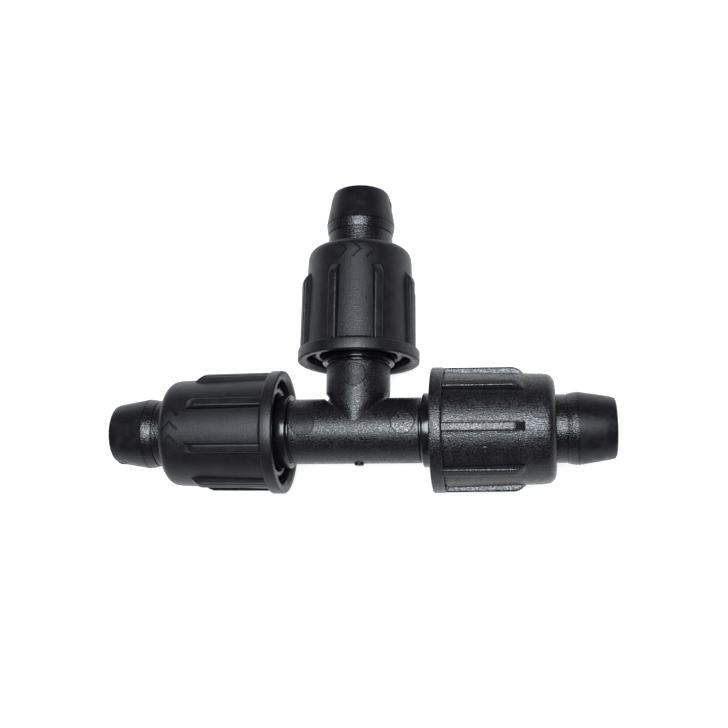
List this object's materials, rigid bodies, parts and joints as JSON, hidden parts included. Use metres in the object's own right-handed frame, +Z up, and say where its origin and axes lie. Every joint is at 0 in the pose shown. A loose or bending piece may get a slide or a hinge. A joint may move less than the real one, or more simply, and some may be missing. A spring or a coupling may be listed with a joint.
{
  "type": "barbed tee pipe fitting",
  "caption": "Black plastic tee for drip irrigation tube: barbed arms with collars, each with a ribbed screw-on nut that grips the tube.",
  "frame": {"origin": "under the middle of the bounding box, on the surface that the nuts lie on", "axes": "+X along the run to the right arm, +Y along the branch, +Z up, square to the plane of the three arms"},
  "size_m": [0.1216, 0.0764, 0.03],
  "materials": {
    "tee_plastic": "fine spark-eroded grain on the barrels, polished collars, satin barbs",
    "nut_plastic": "fine spark-eroded grain",
    "sleeve_plastic": "smooth as moulded"
  },
  "bodies": {
    "tee": {"tee_body": "tee_plastic"},
    "left_sleeve": {"left_grip_sleeve": "sleeve_plastic"},
    "left_shell": {"left_nut_shell": "nut_plastic"},
    "right_sleeve": {"right_grip_sleeve": "sleeve_plastic"},
    "right_shell": {"right_nut_shell": "nut_plastic"},
    "branch_sleeve": {"branch_grip_sleeve": "sleeve_plastic"},
    "branch_shell": {"branch_nut_shell": "nut_plastic"}
  },
  "joints": [
    {"name": "left_nut_travel", "type": "slide", "parent": "tee", "child": "left_sleeve", "axis": [-1, 0, 0], "range_m": [-0.00185, 0.008]},
    {"name": "left_nut_turn", "type": "hinge", "parent": "left_sleeve", "child": "left_shell", "pos_m": [0, -0.02315, 0.015], "axis": [1, 0, 0], "range_deg": [-266, 1151]},
    {"name": "right_nut_travel", "type": "slide", "parent": "tee", "child": "right_sleeve", "axis": [1, 0, 0], "range_m": [-0.00235, 0.008]},
    {"name": "right_nut_turn", "type": "hinge", "parent": "right_sleeve", "child": "right_shell", "pos_m": [0, -0.02315, 0.015], "axis": [-1, 0, 0], "range_deg": [-338, 1151]},
    {"name": "branch_nut_travel", "type": "slide", "parent": "tee", "child": "branch_sleeve", "axis": [0, 1, 0], "range_m": [-0.0004, 0.008]},
    {"name": "branch_nut_turn", "type": "hinge", "parent": "branch_sleeve", "child": "branch_shell", "pos_m": [0, -0.02315, 0.015], "axis": [0, -1, 0], "range_deg": [-57, 1151]}
  ],
  "couplings": [
    {"joint": "left_nut_travel", "follows": "left_nut_turn", "m_per_rad": 0.00039789},
    {"joint": "right_nut_travel", "follows": "right_nut_turn", "m_per_rad": 0.00039789},
    {"joint": "branch_nut_travel", "follows": "branch_nut_turn", "m_per_rad": 0.00039789}
  ]
}
